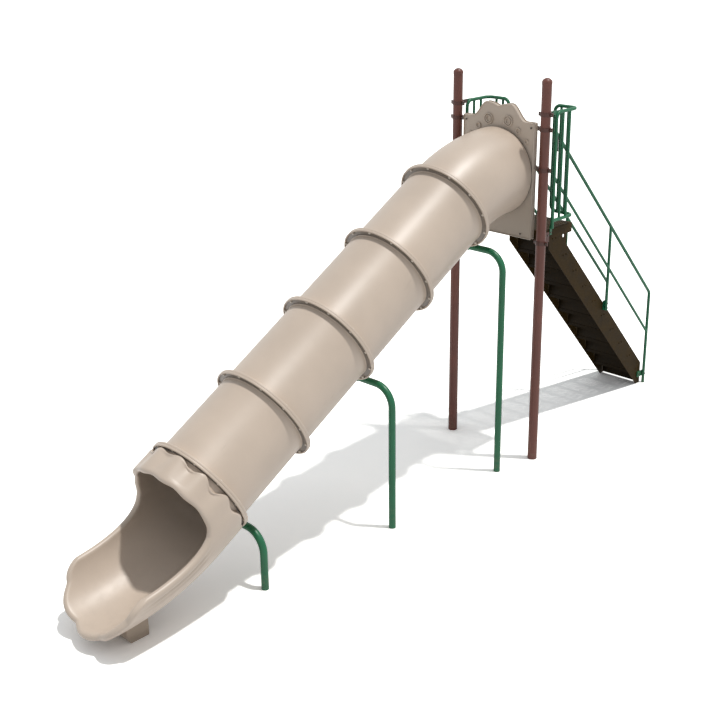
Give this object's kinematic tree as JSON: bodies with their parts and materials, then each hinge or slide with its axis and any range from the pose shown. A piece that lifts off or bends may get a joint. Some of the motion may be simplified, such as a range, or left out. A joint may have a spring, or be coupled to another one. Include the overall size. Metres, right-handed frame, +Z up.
{
  "type": "playground tube slide",
  "caption": "Free-standing enclosed tube slide with a scalloped exit hood and trough, entrance panel, deck between posts, closed stairs, guards and handrails.",
  "frame": {"origin": "middle of the footprint box, on the ground", "axes": "+Y from the slide's lip back to the foot of the stairs, +X to the side of the support legs, +Z up"},
  "size_m": [1.142, 7.1269, 3.618],
  "materials": {
    "brown_steel": "satin reddish brown powder coat",
    "panel_plastic": "moulded greyish beige plastic",
    "foot_plastic": "moulded beige plastic",
    "slide_plastic": "semi-gloss moulded beige plastic",
    "joint_bolt_steel": "dull zinc plated",
    "bolt_steel": "dark stainless",
    "green_steel": "satin green powder coat",
    "black_plastic": "black moulded plastic",
    "coated_steel": "dark brown vinyl coated steel"
  },
  "bodies": {
    "root": {"post_left": "brown_steel", "post_right": "brown_steel", "post_cap_left": "brown_steel", "post_cap_right": "brown_steel", "guard_clamps": "brown_steel", "panel_clamps_upper": "brown_steel", "panel_clamps_middle": "brown_steel", "deck_clamps": "brown_steel", "clamp_bolts": "bolt_steel", "entrance_panel": "panel_plastic", "panel_bolts": "bolt_steel", "entrance_section": "slide_plastic", "entrance_bolts": "bolt_steel", "tube_section_1": "slide_plastic", "tube_section_2": "slide_plastic", "tube_section_3": "slide_plastic", "tube_section_4": "slide_plastic", "exit_section": "slide_plastic", "joint_bolts_1": "joint_bolt_steel", "joint_bolts_2": "joint_bolt_steel", "joint_bolts_3": "joint_bolt_steel", "joint_bolts_4": "joint_bolt_steel", "joint_bolts_5": "joint_bolt_steel", "support_leg_upper": "green_steel", "support_leg_middle": "green_steel", "support_leg_lower": "green_steel", "leg_saddle_upper": "green_steel", "leg_saddle_middle": "green_steel", "leg_saddle_lower": "green_steel", "exit_foot": "foot_plastic", "deck_platform": "coated_steel", "deck_bolts": "bolt_steel", "stair_stringer_left": "coated_steel", "stair_stringer_right": "coated_steel", "tread_1": "coated_steel", "tread_2": "coated_steel", "tread_3": "coated_steel", "tread_4": "coated_steel", "tread_5": "coated_steel", "tread_6": "coated_steel", "tread_7": "coated_steel", "tread_8": "coated_steel", "tread_9": "coated_steel", "tread_10": "coated_steel", "tread_bolts": "bolt_steel", "stair_risers": "coated_steel", "stair_head_bolts": "bolt_steel", "guard_left": "green_steel", "guard_right": "green_steel", "guard_bolts": "bolt_steel", "handrail_left": "green_steel", "handrail_right": "green_steel", "handrail_connectors": "black_plastic", "handrail_brackets": "green_steel", "handrail_bolts": "bolt_steel"}
  },
  "joints": []
}
